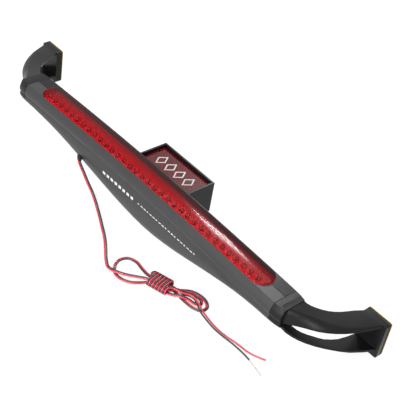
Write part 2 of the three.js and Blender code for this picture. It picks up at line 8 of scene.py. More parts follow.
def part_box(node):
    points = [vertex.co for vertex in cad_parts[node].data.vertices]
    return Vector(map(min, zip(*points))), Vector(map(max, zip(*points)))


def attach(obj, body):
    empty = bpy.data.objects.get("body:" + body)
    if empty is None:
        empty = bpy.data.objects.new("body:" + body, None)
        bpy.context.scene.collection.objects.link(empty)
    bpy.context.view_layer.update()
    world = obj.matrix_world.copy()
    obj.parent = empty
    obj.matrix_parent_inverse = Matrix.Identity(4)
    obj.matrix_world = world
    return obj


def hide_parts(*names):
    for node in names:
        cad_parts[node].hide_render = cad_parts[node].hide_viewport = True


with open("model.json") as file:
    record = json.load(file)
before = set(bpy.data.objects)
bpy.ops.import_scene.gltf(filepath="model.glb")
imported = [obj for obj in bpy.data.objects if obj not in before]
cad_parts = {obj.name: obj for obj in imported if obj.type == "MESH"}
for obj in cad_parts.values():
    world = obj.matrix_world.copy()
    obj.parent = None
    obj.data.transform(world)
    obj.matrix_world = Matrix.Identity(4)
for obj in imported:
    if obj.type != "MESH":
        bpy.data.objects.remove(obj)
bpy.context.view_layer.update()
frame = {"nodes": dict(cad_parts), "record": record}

mm = 0.001
barShift = -3.5 * mm  # from the bar's own middle line to the frame's
nodes = frame["nodes"]
print("frame loaded:", len(nodes), "nodes")


def placed(point):
    # a point in the bar's own millimetres, as metres in the frame
    x, y, z = point
    return Vector((x * mm, y * mm + barShift, z * mm))


def clearSelection():
    if bpy.context.object and bpy.context.object.mode != "OBJECT":
        bpy.ops.object.mode_set(mode="OBJECT")
    bpy.ops.object.select_all(action="DESELECT")


def pickOnly(piece):
    clearSelection()
    piece.select_set(True)
    bpy.context.view_layer.objects.active = piece


# camera

viewpoint = {
    "place": (0.554, -0.5445, 0.639),
    "right": (0.648, 0.747, 0.146),
    "up": (-0.555, 0.333, 0.762),
    "lens": 87,
}


def addCamera():
    right = Vector(viewpoint["right"]).normalized()
    up = Vector(viewpoint["up"])
    up = (up - right * up.dot(right)).normalized()
    turn = Matrix((right, up, right.cross(up))).transposed().to_4x4()
    data = bpy.data.cameras.new("camera")
    data.lens = viewpoint["lens"]
    camera = bpy.data.objects.new("camera", data)
    bpy.context.scene.collection.objects.link(camera)
    camera.matrix_world = Matrix.Translation(Vector(viewpoint["place"])) @ turn
    bpy.context.scene.camera = camera


addCamera()
print("camera placed")


# cords: a red and a black wire side by side, wound into a hank

wires = {
    "radius": 0.85,
    "floorGap": 0.05,
    "pairHalf": 0.9,  # from the middle of the pair to each wire's middle
    "stepsPerSpan": 7,
    "turns": 5.77,  # round the middle of the hank
    "turnPitch": 3.5,
    "stepsPerTurn": 20,
    "windStart": -1.4,  # along the bundle
    "windFlat": 4.5,  # half of the flat top and bottom of a turn
    "windRadius": 3.8,  # of its round ends
    "windFrom": (79.4, -73.3),
    "windAlong": (0.958, 0.287),
    "insideGrommet": 3,  # how far along the cable each wire starts
    "beyondGrommet": 7,
    "roundness": 3,
}
floorZ = wires["radius"] + wires["floorGap"]  # of a wire's middle where it lies on the floor
up = (0, 0, 1)


def cableStart(distance):
    return (-89 + 0.8 * distance, -35.5 - 0.6 * distance, 16.6)


def wound(along, across, z):
    # a point of the hank, measured along and across its bundle
    (x, y), (ax, ay) = wires["windFrom"], wires["windAlong"]
    return (x + ax * along - ay * across, y + ay * along + ax * across, z)


def leadRoute():
    points = [
        cableStart(wires["insideGrommet"]),
        cableStart(wires["beyondGrommet"]),
        (-77.5, -41.4, 14.8),
        (-70.5, -42.8, 11.8),
        (-61, -44.8, 7.8),
        (-50, -47.2, 4.4),
        (-38, -51.4, 1.9),
        (-26, -56.8, floorZ),
        (-16, -61.7, floorZ),
        (-6, -66.9, floorZ),
        (4, -72, floorZ),
        (13, -77.2, floorZ),
        (21, -82.6, floorZ),
        (29, -88.2, floorZ),
        (35.5, -92.4, floorZ),
        (42.5, -95.9, 1.4),
        (49.5, -96, 2.7),
        (55.5, -93.2, 3),
        (61, -88.8, 2.4),
        (68, -82.8, 2.6),
        (74.5, -77.8, 3.2),
    ]
    return [(p, up) for p in points]


def bundleRoute():
    # four passes through the bundle, with a loop at each end between them
    low, high = 2.8, 4.7
    length = 18
    nearLane, midLane, farLane, topLane = -4.9, -1.1, 2.9, 0.6
    firstPass = [wound(0, midLane, low), wound(length, midLane, low)]
    outerLoop = [
        (101.5, -63.2, 2.6),
        (105, -56.5, 1.6),
        (110, -50.4, 1),
        (118, -47.4, floorZ),
        (126.5, -47.9, floorZ),
        (132.6, -52, floorZ),
        (133.2, -58.6, floorZ),
        (127, -62.6, 1),
        (118, -64.4, 1.6),
        (108, -65, 2.4),
    ]
    secondPass = [wound(length, farLane, low), wound(0, farLane, low)]
    leftLoop = [
        (71.5, -71.6, 2),
        (62, -70.6, 1),
        (51.5, -69.4, floorZ),
        (43.2, -73, floorZ),
        (40.8, -81, floorZ),
        (45.2, -90, floorZ),
        (53, -95.2, floorZ),
        (62, -95, floorZ),
        (70, -90.8, 1.2),
        (75.5, -84.8, 2),
    ]
    thirdPass = [wound(0, nearLane, low), wound(length, nearLane, low)]
    innerLoop = [
        (104.5, -70, 3.2),
        (110.5, -66, 4.4),
        (116.5, -61.6, 3.2),
        (122.8, -58.6, 1.4),
        (126.6, -54.4, floorZ),
        (122.6, -50.6, floorZ),
        (116, -51.4, 1.2),
        (109.5, -55.4, 2),
        (103.5, -61.6, 3.8),
    ]
    fourthPass = [wound(length, topLane, high), wound(6, topLane, high)]
    parts = [firstPass, outerLoop, secondPass, leftLoop, thirdPass, innerLoop, fourthPass]
    return [(p, up) for part in parts for p in part]


def aroundHank(travel):
    # across, height and outward direction at a distance round one turn, from the top's far end
    flat, radius = wires["windFlat"], wires["windRadius"]
    arc = math.pi * radius
    travel %= 2 * arc + 4 * flat
    if travel < arc:
        angle = math.pi / 2 - travel / radius
        return flat + radius * math.cos(angle), radius * math.sin(angle), angle
    travel -= arc
    if travel < 2 * flat:
        return flat - travel, -radius, -math.pi / 2
    travel -= 2 * flat
    if travel < arc:
        angle = -math.pi / 2 - travel / radius
        return -flat + radius * math.cos(angle), radius * math.sin(angle), angle
    return travel - arc - flat, radius, math.pi / 2


def windingRoute():
    steps = wires["stepsPerTurn"]
    count = round(wires["turns"] * steps)
    around = 2 * math.pi * wires["windRadius"] + 4 * wires["windFlat"]
    middle = wires["windRadius"] + floorZ
    (ax, ay) = wires["windAlong"]
    route = [(wound(3.6, 0.6, 5), up), (wound(0.4, 1, 6.2), up), (wound(-2.2, 3, 7.6), up)]
    for i in range(2, count + 1):
        across, high, angle = aroundHank(around * i / steps)
        along = wires["windStart"] + wires["turnPitch"] * i / steps
        outward = (-ay * math.cos(angle), ax * math.cos(angle), math.sin(angle))
        route.append((wound(along, across, middle + high), outward))
    return route


def exitRoute():
    (ax, ay) = wires["windAlong"]
    far = (-ay, ax, 0)
    return [
        (wound(19.9, -1.7, 8.2), up),
        (wound(22.4, 0.4, 7.4), up),
        (wound(26.6, 1.4, 6.1), (-ay * 0.5, ax * 0.5, 0.8)),
        ((109.5, -62, 4.6), far),
        ((114.6, -57.6, 3.9), far),
        ((120, -56.2, 3.6), far),
        ((125.4, -57.6, 3.4), (-ay * 0.7, ax * 0.7, -0.7)),
    ]


tails = {
    "black": [
        (130.4, -60, 2.7),
        (134.7, -61.2, 1.7),
        (144, -62.4, floorZ),
        (156, -63.6, floorZ),
        (168, -62.9, floorZ),
        (176, -61.9, floorZ),
        (184, -61.4, floorZ),
        (192, -61.4, floorZ),
        (200, -61.9, floorZ),
    ],
    "red": [
        (130.8, -58, 2.7),
        (135.1, -58.9, 1.7),
        (144.4, -60.1, floorZ),
        (156.2, -61.3, floorZ),
        (168, -60.6, floorZ),
        (176.7, -58.9, floorZ),
        (184, -57.8, floorZ),
        (192, -57, floorZ),
        (200.3, -54.3, floorZ),
        (208.5, -50.2, floorZ),
    ],
}


def smoothed(points, steps):
    # a centripetal Catmull-Rom curve through the points
    padded = [points[0] * 2 - points[1]] + points + [points[-1] * 2 - points[-2]]
    line = []
    for i in range(1, len(padded) - 2):
        p0, p1, p2, p3 = padded[i - 1 : i + 3]
        t1 = (p1 - p0).length ** 0.5
        t2 = t1 + (p2 - p1).length ** 0.5
        t3 = t2 + (p3 - p2).length ** 0.5
        for k in range(steps):
            t = t1 + (t2 - t1) * k / steps
            a1 = p0 * ((t1 - t) / t1) + p1 * (t / t1)
            a2 = p1 * ((t2 - t) / (t2 - t1)) + p2 * ((t - t1) / (t2 - t1))
            a3 = p2 * ((t3 - t) / (t3 - t2)) + p3 * ((t - t2) / (t3 - t2))
            b1 = a1 * ((t2 - t) / t2) + a2 * (t / t2)
            b2 = a2 * ((t3 - t) / (t3 - t1)) + a3 * ((t - t1) / (t3 - t1))
            line.append(b1 * ((t2 - t) / (t2 - t1)) + b2 * ((t - t1) / (t2 - t1)))
    return line + [points[-1]]


def besideRoute(route, side):
    # the line of one wire, beside the middle of the pair
    points = [Vector(p) for p, _ in route]
    out = []
    for i, (_, outward) in enumerate(route):
        along = points[min(i + 1, len(points) - 1)] - points[max(i - 1, 0)]
        beside = along.cross(Vector(outward)).normalized()
        out.append(points[i] + beside * side * wires["pairHalf"])
    return out


def addWire(name, side):
    route = leadRoute() + bundleRoute() + windingRoute() + exitRoute()
    points = besideRoute(route, side) + [Vector(p) for p in tails[name]]
    line = [placed(p) for p in smoothed(points, wires["stepsPerSpan"])]
    curve = bpy.data.curves.new(name + "_wire", "CURVE")
    curve.dimensions = "3D"
    curve.bevel_depth = wires["radius"] * mm
    curve.bevel_resolution = wires["roundness"]
    curve.use_fill_caps = True
    spline = curve.splines.new("POLY")
    spline.points.add(len(line) - 1)
    for point, p in zip(spline.points, line):
        point.co = (*p, 1)
    piece = bpy.data.objects.new(name + "_wire", curve)
    bpy.context.scene.collection.objects.link(piece)
    pickOnly(piece)
    bpy.ops.object.convert(target="MESH")
    piece = bpy.context.object
    piece.data.materials.clear()
    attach(piece, "bar")
    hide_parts(name + "_lead", name + "_tail")
    return piece


redWire = addWire("red", 1)
blackWire = addWire("black", -1)
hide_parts("wire_hank")


# floor, lights and background

studio = {
    "floorSize": 3.2,
    "floorDrop": 0.0002,
    "floorGrey": 0.2,
    "floorRoughness": 0.9,
    "floorGlow": 0.86,  # seen by the camera and in reflections only
    "worldGrey": 0.26,
    "softboxes": [
        # name, place, aimed at, size, watts
        ("overhead", (-0.35, 0.25, 1.3), (0, 0, 0), 1.1, 9),
        ("front", (0.35, -1.15, 0.4), (0, 0, 0.02), 0.9, 24),
        ("streak", (-0.31, 0.5, 0.64), (0.12, -0.02, 0.05), 0.12, 2.6),
    ],
}


def whiteToCamera(tree, background):
    # a white background for the camera, reflections and clear pieces, beside the one that lights
    light = tree.nodes.new("ShaderNodeLightPath")
    first = tree.nodes.new("ShaderNodeMath")
    first.operation = "MAXIMUM"
    tree.links.new(light.outputs["Is Camera Ray"], first.inputs[0])
    tree.links.new(light.outputs["Is Glossy Ray"], first.inputs[1])
    both = tree.nodes.new("ShaderNodeMath")
    both.operation = "MAXIMUM"
    tree.links.new(first.outputs[0], both.inputs[0])
    tree.links.new(light.outputs["Is Transmission Ray"], both.inputs[1])
    white = tree.nodes.new("ShaderNodeBackground")
    white.inputs["Color"].default_value = (1, 1, 1, 1)
    white.inputs["Strength"].default_value = 1
    mix = tree.nodes.new("ShaderNodeMixShader")
    tree.links.new(both.outputs[0], mix.inputs[0])
    tree.links.new(background.outputs[0], mix.inputs[1])
    tree.links.new(white.outputs[0], mix.inputs[2])
    return mix


def addStudio():
    scene = bpy.context.scene
    scene.view_settings.view_transform = "Standard"
    world = bpy.data.worlds.new("studio")
    scene.world = world
    world.use_nodes = True
    tree = world.node_tree
    ground = tree.nodes["Background"]
    grey = studio["worldGrey"]
    ground.inputs["Color"].default_value = (grey, grey, grey, 1)
    mix = whiteToCamera(tree, ground)
    tree.links.new(mix.outputs[0], tree.nodes["World Output"].inputs["Surface"])

    bpy.ops.mesh.primitive_plane_add(
        size=studio["floorSize"], location=(0, 0, -studio["floorDrop"])
    )
    floor = bpy.context.object
    floor.name = "floor"
    material = bpy.data.materials.new("paleFloor")
    material.use_nodes = True
    tree = material.node_tree
    paint = tree.nodes["Principled BSDF"]
    pale = studio["floorGrey"]
    paint.inputs["Base Color"].default_value = (pale, pale, pale, 1)
    paint.inputs["Roughness"].default_value = studio["floorRoughness"]
    light = tree.nodes.new("ShaderNodeLightPath")
    seen = tree.nodes.new("ShaderNodeMath")
    seen.operation = "MAXIMUM"
    tree.links.new(light.outputs["Is Camera Ray"], seen.inputs[0])
    tree.links.new(light.outputs["Is Glossy Ray"], seen.inputs[1])
    glow = tree.nodes.new("ShaderNodeMath")
    glow.operation = "MULTIPLY"
    glow.inputs[1].default_value = studio["floorGlow"]
    tree.links.new(seen.outputs[0], glow.inputs[0])
    paint.inputs["Emission Color"].default_value = (1, 1, 1, 1)
    tree.links.new(glow.outputs[0], paint.inputs["Emission Strength"])
    floor.data.materials.append(material)

    for name, place, aim, size, watts in studio["softboxes"]:
        data = bpy.data.lights.new(name, "AREA")
        data.shape = "SQUARE"
        data.size = size
        data.energy = watts
        lamp = bpy.data.objects.new(name, data)
        scene.collection.objects.link(lamp)
        lamp.location = place
        lamp.rotation_euler = (Vector(aim) - Vector(place)).to_track_quat("-Z", "Y").to_euler()


addStudio()
print("studio lit")


# material helpers

def addGroup(name, inputs, outputs, build):
    group = bpy.data.node_groups.new(name, "ShaderNodeTree")
    for label, kind, value in inputs:
        socket = group.interface.new_socket(name=label, in_out="INPUT", socket_type=kind)
        socket.default_value = value
    for label, kind in outputs:
        group.interface.new_socket(name=label, in_out="OUTPUT", socket_type=kind)
    start = group.nodes.new("NodeGroupInput")
    end = group.nodes.new("NodeGroupOutput")
    build(group, start, end)
    return group


grainLook = {
    "fineDetail": 3,
    "broadScale": 22,
    "broadDetail": 4,
    "broadRange": (0.3, 0.7),
    "bumpDistance": 0.0003,
}


def buildGrain(group, start, end):
    coords = group.nodes.new("ShaderNodeTexCoord")
    fine = group.nodes.new("ShaderNodeTexNoise")
    fine.inputs["Detail"].default_value = grainLook["fineDetail"]
    group.links.new(coords.outputs["Object"], fine.inputs["Vector"])
    group.links.new(start.outputs["Scale"], fine.inputs["Scale"])
    broad = group.nodes.new("ShaderNodeTexNoise")
    broad.inputs["Scale"].default_value = grainLook["broadScale"]
    broad.inputs["Detail"].default_value = grainLook["broadDetail"]
    group.links.new(coords.outputs["Object"], broad.inputs["Vector"])
    rough = group.nodes.new("ShaderNodeMapRange")
    group.links.new(broad.outputs["Fac"], rough.inputs["Value"])
    rough.inputs["From Min"].default_value = grainLook["broadRange"][0]
    rough.inputs["From Max"].default_value = grainLook["broadRange"][1]
    group.links.new(start.outputs["Smoothest"], rough.inputs["To Min"])
    group.links.new(start.outputs["Roughest"], rough.inputs["To Max"])
    group.links.new(fine.outputs["Fac"], end.inputs["Height"])
    group.links.new(broad.outputs["Fac"], end.inputs["Tone"])
    group.links.new(rough.outputs["Result"], end.inputs["Roughness"])


grain = addGroup(
    "mouldedGrain",
    [
        ("Scale", "NodeSocketFloat", 1500),
        ("Smoothest", "NodeSocketFloat", 0.35),
        ("Roughest", "NodeSocketFloat", 0.5),
    ],
    [("Height", "NodeSocketFloat"), ("Tone", "NodeSocketFloat"), ("Roughness", "NodeSocketFloat")],
    buildGrain,
)


def addMaterial(
    name, dark, light, smoothest, roughest, scale=1500, bump=0.08, rounding=0, **fixed
):
    # a finish whose colour and roughness wander a little, over a fine moulded grain
    material = bpy.data.materials.new(name)
    material.use_nodes = True
    tree = material.node_tree
    shader = tree.nodes["Principled BSDF"]
    texture = tree.nodes.new("ShaderNodeGroup")
    texture.node_tree = grain
    texture.inputs["Scale"].default_value = scale
    texture.inputs["Smoothest"].default_value = smoothest
    texture.inputs["Roughest"].default_value = roughest
    tree.links.new(texture.outputs["Roughness"], shader.inputs["Roughness"])
    colour = tree.nodes.new("ShaderNodeMix")
    colour.name = "wander"
    colour.data_type = "RGBA"
    colour.inputs["A"].default_value = (*dark, 1)
    colour.inputs["B"].default_value = (*light, 1)
    tree.links.new(texture.outputs["Tone"], colour.inputs["Factor"])
    tree.links.new(colour.outputs["Result"], shader.inputs["Base Color"])
    lift = tree.nodes.new("ShaderNodeBump")
    lift.inputs["Strength"].default_value = bump
    lift.inputs["Distance"].default_value = grainLook["bumpDistance"]
    tree.links.new(texture.outputs["Height"], lift.inputs["Height"])
    if rounding:
        edge = tree.nodes.new("ShaderNodeBevel")
        edge.samples = 4
        edge.inputs["Radius"].default_value = rounding * mm
        tree.links.new(edge.outputs["Normal"], lift.inputs["Normal"])
    tree.links.new(lift.outputs["Normal"], shader.inputs["Normal"])
    for socket, value in fixed.items():
        shader.inputs[socket.replace("_", " ")].default_value = value
    return material


# materials

finishes = {
    "shell_black": addMaterial(
        "satinShell", (0.005, 0.005, 0.0055), (0.01, 0.01, 0.011), 0.26, 0.38,
        scale=2600, bump=0.1, rounding=0.5, Specular_IOR_Level=0.18,
    ),
    # the belly's grey, lighter than the black shell, is partly its textured finish and partly
    # painted light from the front light it faces
    "belly": addMaterial(
        "bellyGreyPaintedLight", (0.028, 0.028, 0.029), (0.044, 0.044, 0.046), 0.34, 0.46,
        scale=2600, bump=0.14, rounding=0.5, Specular_IOR_Level=0.3,
    ),
    "window_smoked": addMaterial(
        "smokedWindow", (0.012, 0.004, 0.005), (0.02, 0.006, 0.008), 0.12, 0.2,
        scale=900, bump=0.02, Coat_Weight=0.4, Specular_IOR_Level=0.2,
    ),
    "legend_film": addMaterial(
        "legendFilm", (0.03, 0.004, 0.006), (0.05, 0.008, 0.01), 0.4, 0.5,
    ),
    # the reflector tray's emission is a painted glow: the tray is no lamp, and the glow brightens
    # the red seen through the lens
    "reflector_red": addMaterial(
        "reflectorTrayPaintedGlow", (0.62, 0.006, 0.012), (0.8, 0.012, 0.02), 0.2, 0.35, scale=1800,
        Emission_Color=(1, 0.01, 0.02, 1), Emission_Strength=0.34,
    ),
    "led_epoxy": addMaterial(
        "ledEpoxy", (0.07, 0.002, 0.004), (0.12, 0.004, 0.006), 0.06, 0.14,
        scale=700, bump=0.02, Coat_Weight=0.6,
    ),
    "board": addMaterial(
        "boardGreen", (0.02, 0.07, 0.035), (0.03, 0.1, 0.05), 0.4, 0.55, scale=1200,
    ),
    "ceramic": addMaterial(
        "resistorBody", (0.36, 0.27, 0.17), (0.5, 0.4, 0.28), 0.4, 0.6, scale=1700,
    ),
    "diode_black": addMaterial(
        "diodeBody", (0.012, 0.012, 0.013), (0.03, 0.03, 0.03), 0.3, 0.45,
    ),
    "screw_steel": addMaterial(
        "screwSteel", (0.1, 0.1, 0.105), (0.17, 0.17, 0.18), 0.28, 0.42,
        scale=1100, rounding=0.2, Metallic=1.0,
    ),
    "grommet_rubber": addMaterial(
        "grommetRubber", (0.01, 0.01, 0.01), (0.02, 0.02, 0.02), 0.5, 0.7, scale=2000,
    ),
    "foam": addMaterial(
        "foamTape", (0.012, 0.012, 0.012), (0.028, 0.028, 0.028), 0.8, 0.95,
        scale=1400, bump=0.7,
    ),
    "liner_yellow": addMaterial(
        "linerFilm", (0.75, 0.5, 0.06), (0.85, 0.62, 0.1), 0.3, 0.45, scale=500, bump=0.05,
    ),
    "wire_red": addMaterial(
        "wireRed", (0.56, 0.02, 0.045), (0.64, 0.03, 0.06), 0.22, 0.34,
        scale=800, bump=0.04, Coat_Weight=0.25,
    ),
    "wire_black": addMaterial(
        "wireBlack", (0.016, 0.016, 0.018), (0.03, 0.03, 0.033), 0.22, 0.36,
        scale=800, bump=0.04, Coat_Weight=0.25,
    ),
    "tinned_copper": addMaterial(
        "tinnedStrands", (0.42, 0.36, 0.3), (0.6, 0.56, 0.52), 0.25, 0.4,
        scale=1600, bump=0.4, Metallic=1.0,
    ),
}


lensTint = {
    "clearBand": (-0.0355, -0.0105),  # across the lens, belly side first
    "clearness": (0.22, 0.8),
    # the far band of the lens, darkened toward a deeper red, is painted shade
    "paintedShadeBand": (-0.0305, -0.0145),
    "paintedShadeRed": (0.03, 0.0008, 0.002, 1),
}


def addLensMaterial():
    # red polycarbonate: half clear, brighter on the belly side, with painted shade darkening its
    # far band
    material = addMaterial(
        "lensRed", (0.3, 0.001, 0.004), (0.4, 0.002, 0.006), 0.09, 0.13,
        scale=300, bump=0.004, Specular_IOR_Level=0.16,
    )
    tree = material.node_tree
    shader = tree.nodes["Principled BSDF"]
    coords = tree.nodes.new("ShaderNodeTexCoord")
    split = tree.nodes.new("ShaderNodeSeparateXYZ")
    tree.links.new(coords.outputs["Object"], split.inputs[0])
    band = tree.nodes.new("ShaderNodeMapRange")
    band.inputs["From Min"].default_value = lensTint["clearBand"][0]
    band.inputs["From Max"].default_value = lensTint["clearBand"][1]
    band.inputs["To Min"].default_value = lensTint["clearness"][0]
    band.inputs["To Max"].default_value = lensTint["clearness"][1]
    tree.links.new(split.outputs["Y"], band.inputs["Value"])
    tree.links.new(band.outputs["Result"], shader.inputs["Alpha"])
    # painted shade: the lens's far band mixes toward a darker red
    shade = tree.nodes.new("ShaderNodeMapRange")
    shade.inputs["From Min"].default_value = lensTint["paintedShadeBand"][0]
    shade.inputs["From Max"].default_value = lensTint["paintedShadeBand"][1]
    tree.links.new(split.outputs["Y"], shade.inputs["Value"])
    paintedShadeMix = tree.nodes.new("ShaderNodeMix")
    paintedShadeMix.data_type = "RGBA"
    paintedShadeMix.inputs["B"].default_value = lensTint["paintedShadeRed"]
    tree.links.new(shade.outputs["Result"], paintedShadeMix.inputs["Factor"])
    tree.links.new(tree.nodes["wander"].outputs["Result"], paintedShadeMix.inputs["A"])
    tree.links.new(paintedShadeMix.outputs["Result"], shader.inputs["Base Color"])
    return material


finishes["lens_red"] = addLensMaterial()


windowBars = {
    "Color1": (0.5, 0.006, 0.012, 1),
    "Color2": (0.2, 0.003, 0.006, 1),
    "Mortar": (0.012, 0.002, 0.003, 1),
    "Scale": 100,
    "Brick Width": 0.36,
    "Row Height": 0.21,
    "Mortar Size": 0.062,
}


def addWindowPattern():
    # rows of short red bars seen through the smoked window
    tree = finishes["window_smoked"].node_tree
    coords = tree.nodes.new("ShaderNodeTexCoord")
    bars = tree.nodes.new("ShaderNodeTexBrick")
    for socket, value in windowBars.items():
        bars.inputs[socket].default_value = value
    tree.links.new(coords.outputs["Object"], bars.inputs["Vector"])
    shader = tree.nodes["Principled BSDF"]
    tree.links.new(bars.outputs["Color"], shader.inputs["Base Color"])


addWindowPattern()


shading = {"edgeDegrees": 44, "weldDistance": 0.00001}


def roundedShading(piece):
    # smooth between the small facets, with the real edges kept
    weld = piece.modifiers.new("weld", "WELD")
    weld.merge_threshold = shading["weldDistance"]
    split = piece.modifiers.new("split", "EDGE_SPLIT")
    split.split_angle = math.radians(shading["edgeDegrees"])
    if piece.data.has_custom_normals:
        pickOnly(piece)
        bpy.ops.mesh.customdata_custom_splitnormals_clear()
    piece.data.polygons.foreach_set("use_smooth", [True] * len(piece.data.polygons))
    piece.data.update()


def dressNodes():
    for entry in frame["record"]["subparts"]:
        piece = nodes[entry["node"]]
        # the belly shell takes the lighter grey, which is partly its textured finish and partly
        # painted light
        finish = "belly" if entry["node"] == "belly_shell" else entry["material_slot"]
        material = finishes[finish]
        if not piece.material_slots:
            piece.data.materials.append(material)
        for slot in piece.material_slots:
            slot.material = material
        roundedShading(piece)
    for colour, piece in (("wire_red", redWire), ("wire_black", blackWire)):
        piece.data.materials.append(finishes[colour])


dressNodes()
print("materials on")


# modelling helpers

def startPiece(name, scale=(1, 1, 1)):
    # a new primitive becomes a piece: named, stretched, with its place in its mesh
    piece = bpy.context.object
    piece.name = name
    piece.scale = scale
    bpy.ops.object.transform_apply(location=True, rotation=True, scale=True)
    return piece


def addBlock(name, low, high):
    # a cuboid between two corners, in the bar's own millimetres
    clearSelection()
    a, b = placed(low), placed(high)
    bpy.ops.mesh.primitive_cube_add(size=1, location=(a + b) / 2)
    return startPiece(name, b - a)


def pickFaces(piece, wanted):
    # selects the faces that wanted(centre, normal) names, and leaves edit mode on
    bpy.ops.object.mode_set(mode="EDIT")
    bpy.ops.mesh.select_mode(type="FACE")
    bpy.ops.mesh.select_all(action="DESELECT")
    bpy.ops.object.mode_set(mode="OBJECT")
    for face in piece.data.polygons:
        face.select = bool(wanted(face.center, face.normal))
    bpy.ops.object.mode_set(mode="EDIT")


def copyOf(piece, offset):
    # a copy with its own mesh, moved by an offset in metres
    twin = piece.copy()
    twin.data = piece.data.copy()
    twin.data.transform(Matrix.Translation(offset))
    bpy.context.scene.collection.objects.link(twin)
    return twin


def joinPieces(name, parts):
    clearSelection()
    for part in parts:
        part.select_set(True)
    bpy.context.view_layer.objects.active = parts[0]
    bpy.ops.object.join()
    piece = bpy.context.object
    piece.name = name
    return piece


def finishPiece(piece, material, stands=(), body="bar", angle=35):
    pickOnly(piece)
    for modifier in list(piece.modifiers):
        bpy.ops.object.modifier_apply(modifier=modifier.name)
    bpy.ops.object.mode_set(mode="EDIT")
    bpy.ops.mesh.select_all(action="SELECT")
    bpy.ops.mesh.normals_make_consistent(inside=False)
    bpy.ops.object.mode_set(mode="OBJECT")
    bpy.ops.object.shade_smooth_by_angle(angle=math.radians(angle))
    piece.data.materials.clear()
    piece.data.materials.append(material)
    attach(piece, body)
    if stands:
        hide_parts(*stands)
    return piece


# lamps: domes with a foot, five to a spacer strip

lamps = {
    "radius": 2.5,
    "footRadius": 2.9,
    "footHeight": 1,
    "height": 6,
    "sides": 20,
    "domeSteps": 5,
    "domeDegrees": 15,  # for each step
    "pitch": 9.8,
    "count": 35,
    "perBank": 5,
    "base": 37.3,
    "middleY": -19.5,
    "stripHalfWidth": 1.5,
    "stripHeight": 0.8,
    "stopPitch": 10.5,
    "stopColumns": 6,
    "stopRows": (4.2, 22.3),
    "stopBase": 23.9,
}


def addLamp(name, x, y, base):
    clearSelection()
    radius, height = lamps["radius"], lamps["height"]
    wall = height - radius
    bpy.ops.mesh.primitive_cylinder_add(
        vertices=lamps["sides"], radius=radius * mm, depth=wall * mm,
        location=placed((x, y, base + wall / 2)),
    )
    lamp = startPiece(name)
    middle = placed((x, y, base))
    pickFaces(lamp, lambda centre, normal: normal.z > 0.9)
    tilt = math.radians(lamps["domeDegrees"])
    for step in range(1, lamps["domeSteps"] + 1):
        angle = math.radians(lamps["domeDegrees"] * step)
        ring = math.cos(angle) / math.cos(angle - tilt)
        rise = radius * (math.sin(angle) - math.sin(angle - tilt))
        bpy.ops.mesh.extrude_region_move(TRANSFORM_OT_translate={"value": (0, 0, rise * mm)})
        bpy.ops.transform.resize(value=(ring, ring, 1), center_override=middle)
    bpy.ops.object.mode_set(mode="OBJECT")
    clearSelection()
    foot = lamps["footHeight"]
    bpy.ops.mesh.primitive_cylinder_add(
        vertices=lamps["sides"], radius=lamps["footRadius"] * mm, depth=foot * mm,
        location=placed((x, y, base + foot / 2)),
    )
    flange = startPiece(name + "_foot")
    return joinPieces(name, [lamp, flange])


def addBank(name, xs, y, base):
    first = addLamp(name, xs[0], y, base)
    others = [copyOf(first, Vector(((x - xs[0]) * mm, 0, 0))) for x in xs[1:]]
    half = lamps["stripHalfWidth"]
    top = base + lamps["stripHeight"]
    strip = addBlock(name + "_strip", (xs[0], y - half, base), (xs[-1], y + half, top))
    bank = joinPieces(name, [first] + others + [strip])
    return finishPiece(bank, finishes["led_epoxy"], [name])


def rowOf(count, pitch):
    return [(n - (count - 1) / 2) * pitch for n in range(count)]


lampX = rowOf(lamps["count"], lamps["pitch"])
for bank in range(lamps["count"] // lamps["perBank"]):
    xs = lampX[bank * lamps["perBank"] : (bank + 1) * lamps["perBank"]]
    addBank("led_bank_" + str(bank + 1), xs, lamps["middleY"], lamps["base"])
stopX = rowOf(lamps["stopColumns"], lamps["stopPitch"])
for row, y in enumerate(lamps["stopRows"]):
    addBank("stop_led_bank_" + str(row + 1), stopX, y, lamps["stopBase"])
print("lamps made")


# optic bed: the tray under the lens, faceted on the belly side, with a collar at each lamp

opticBed = {
    "reach": 169.5,
    "halfWidth": 12.9,
    "floor": 38.4,
    "frontHeight": 49.5,
    "frontBow": 4.4,
    "barHalfLength": 189,
    "underLens": 4.6,
    "flatShare": 0.35,
    "columns": 96,
    "rows": 9,
    "facetHeight": 1.7,
    "thickness": 0.5,
    "collarRadius": 3.7,
    "collarTube": 0.42,
    "collarRise": 0.5,
    "holeClearance": 0.6,
    "plainBand": (-2, 7),  # left smooth, measured across from the lamps' line
}


def bedHeight(x, side):
    bow = opticBed["frontBow"] * (x / opticBed["barHalfLength"]) ** 2
    front = opticBed["frontHeight"] - bow
    share = opticBed["flatShare"]
    rise = max(0, (abs(side) - share) / (1 - share))
    return opticBed["floor"] + (front - opticBed["underLens"] - opticBed["floor"]) * rise


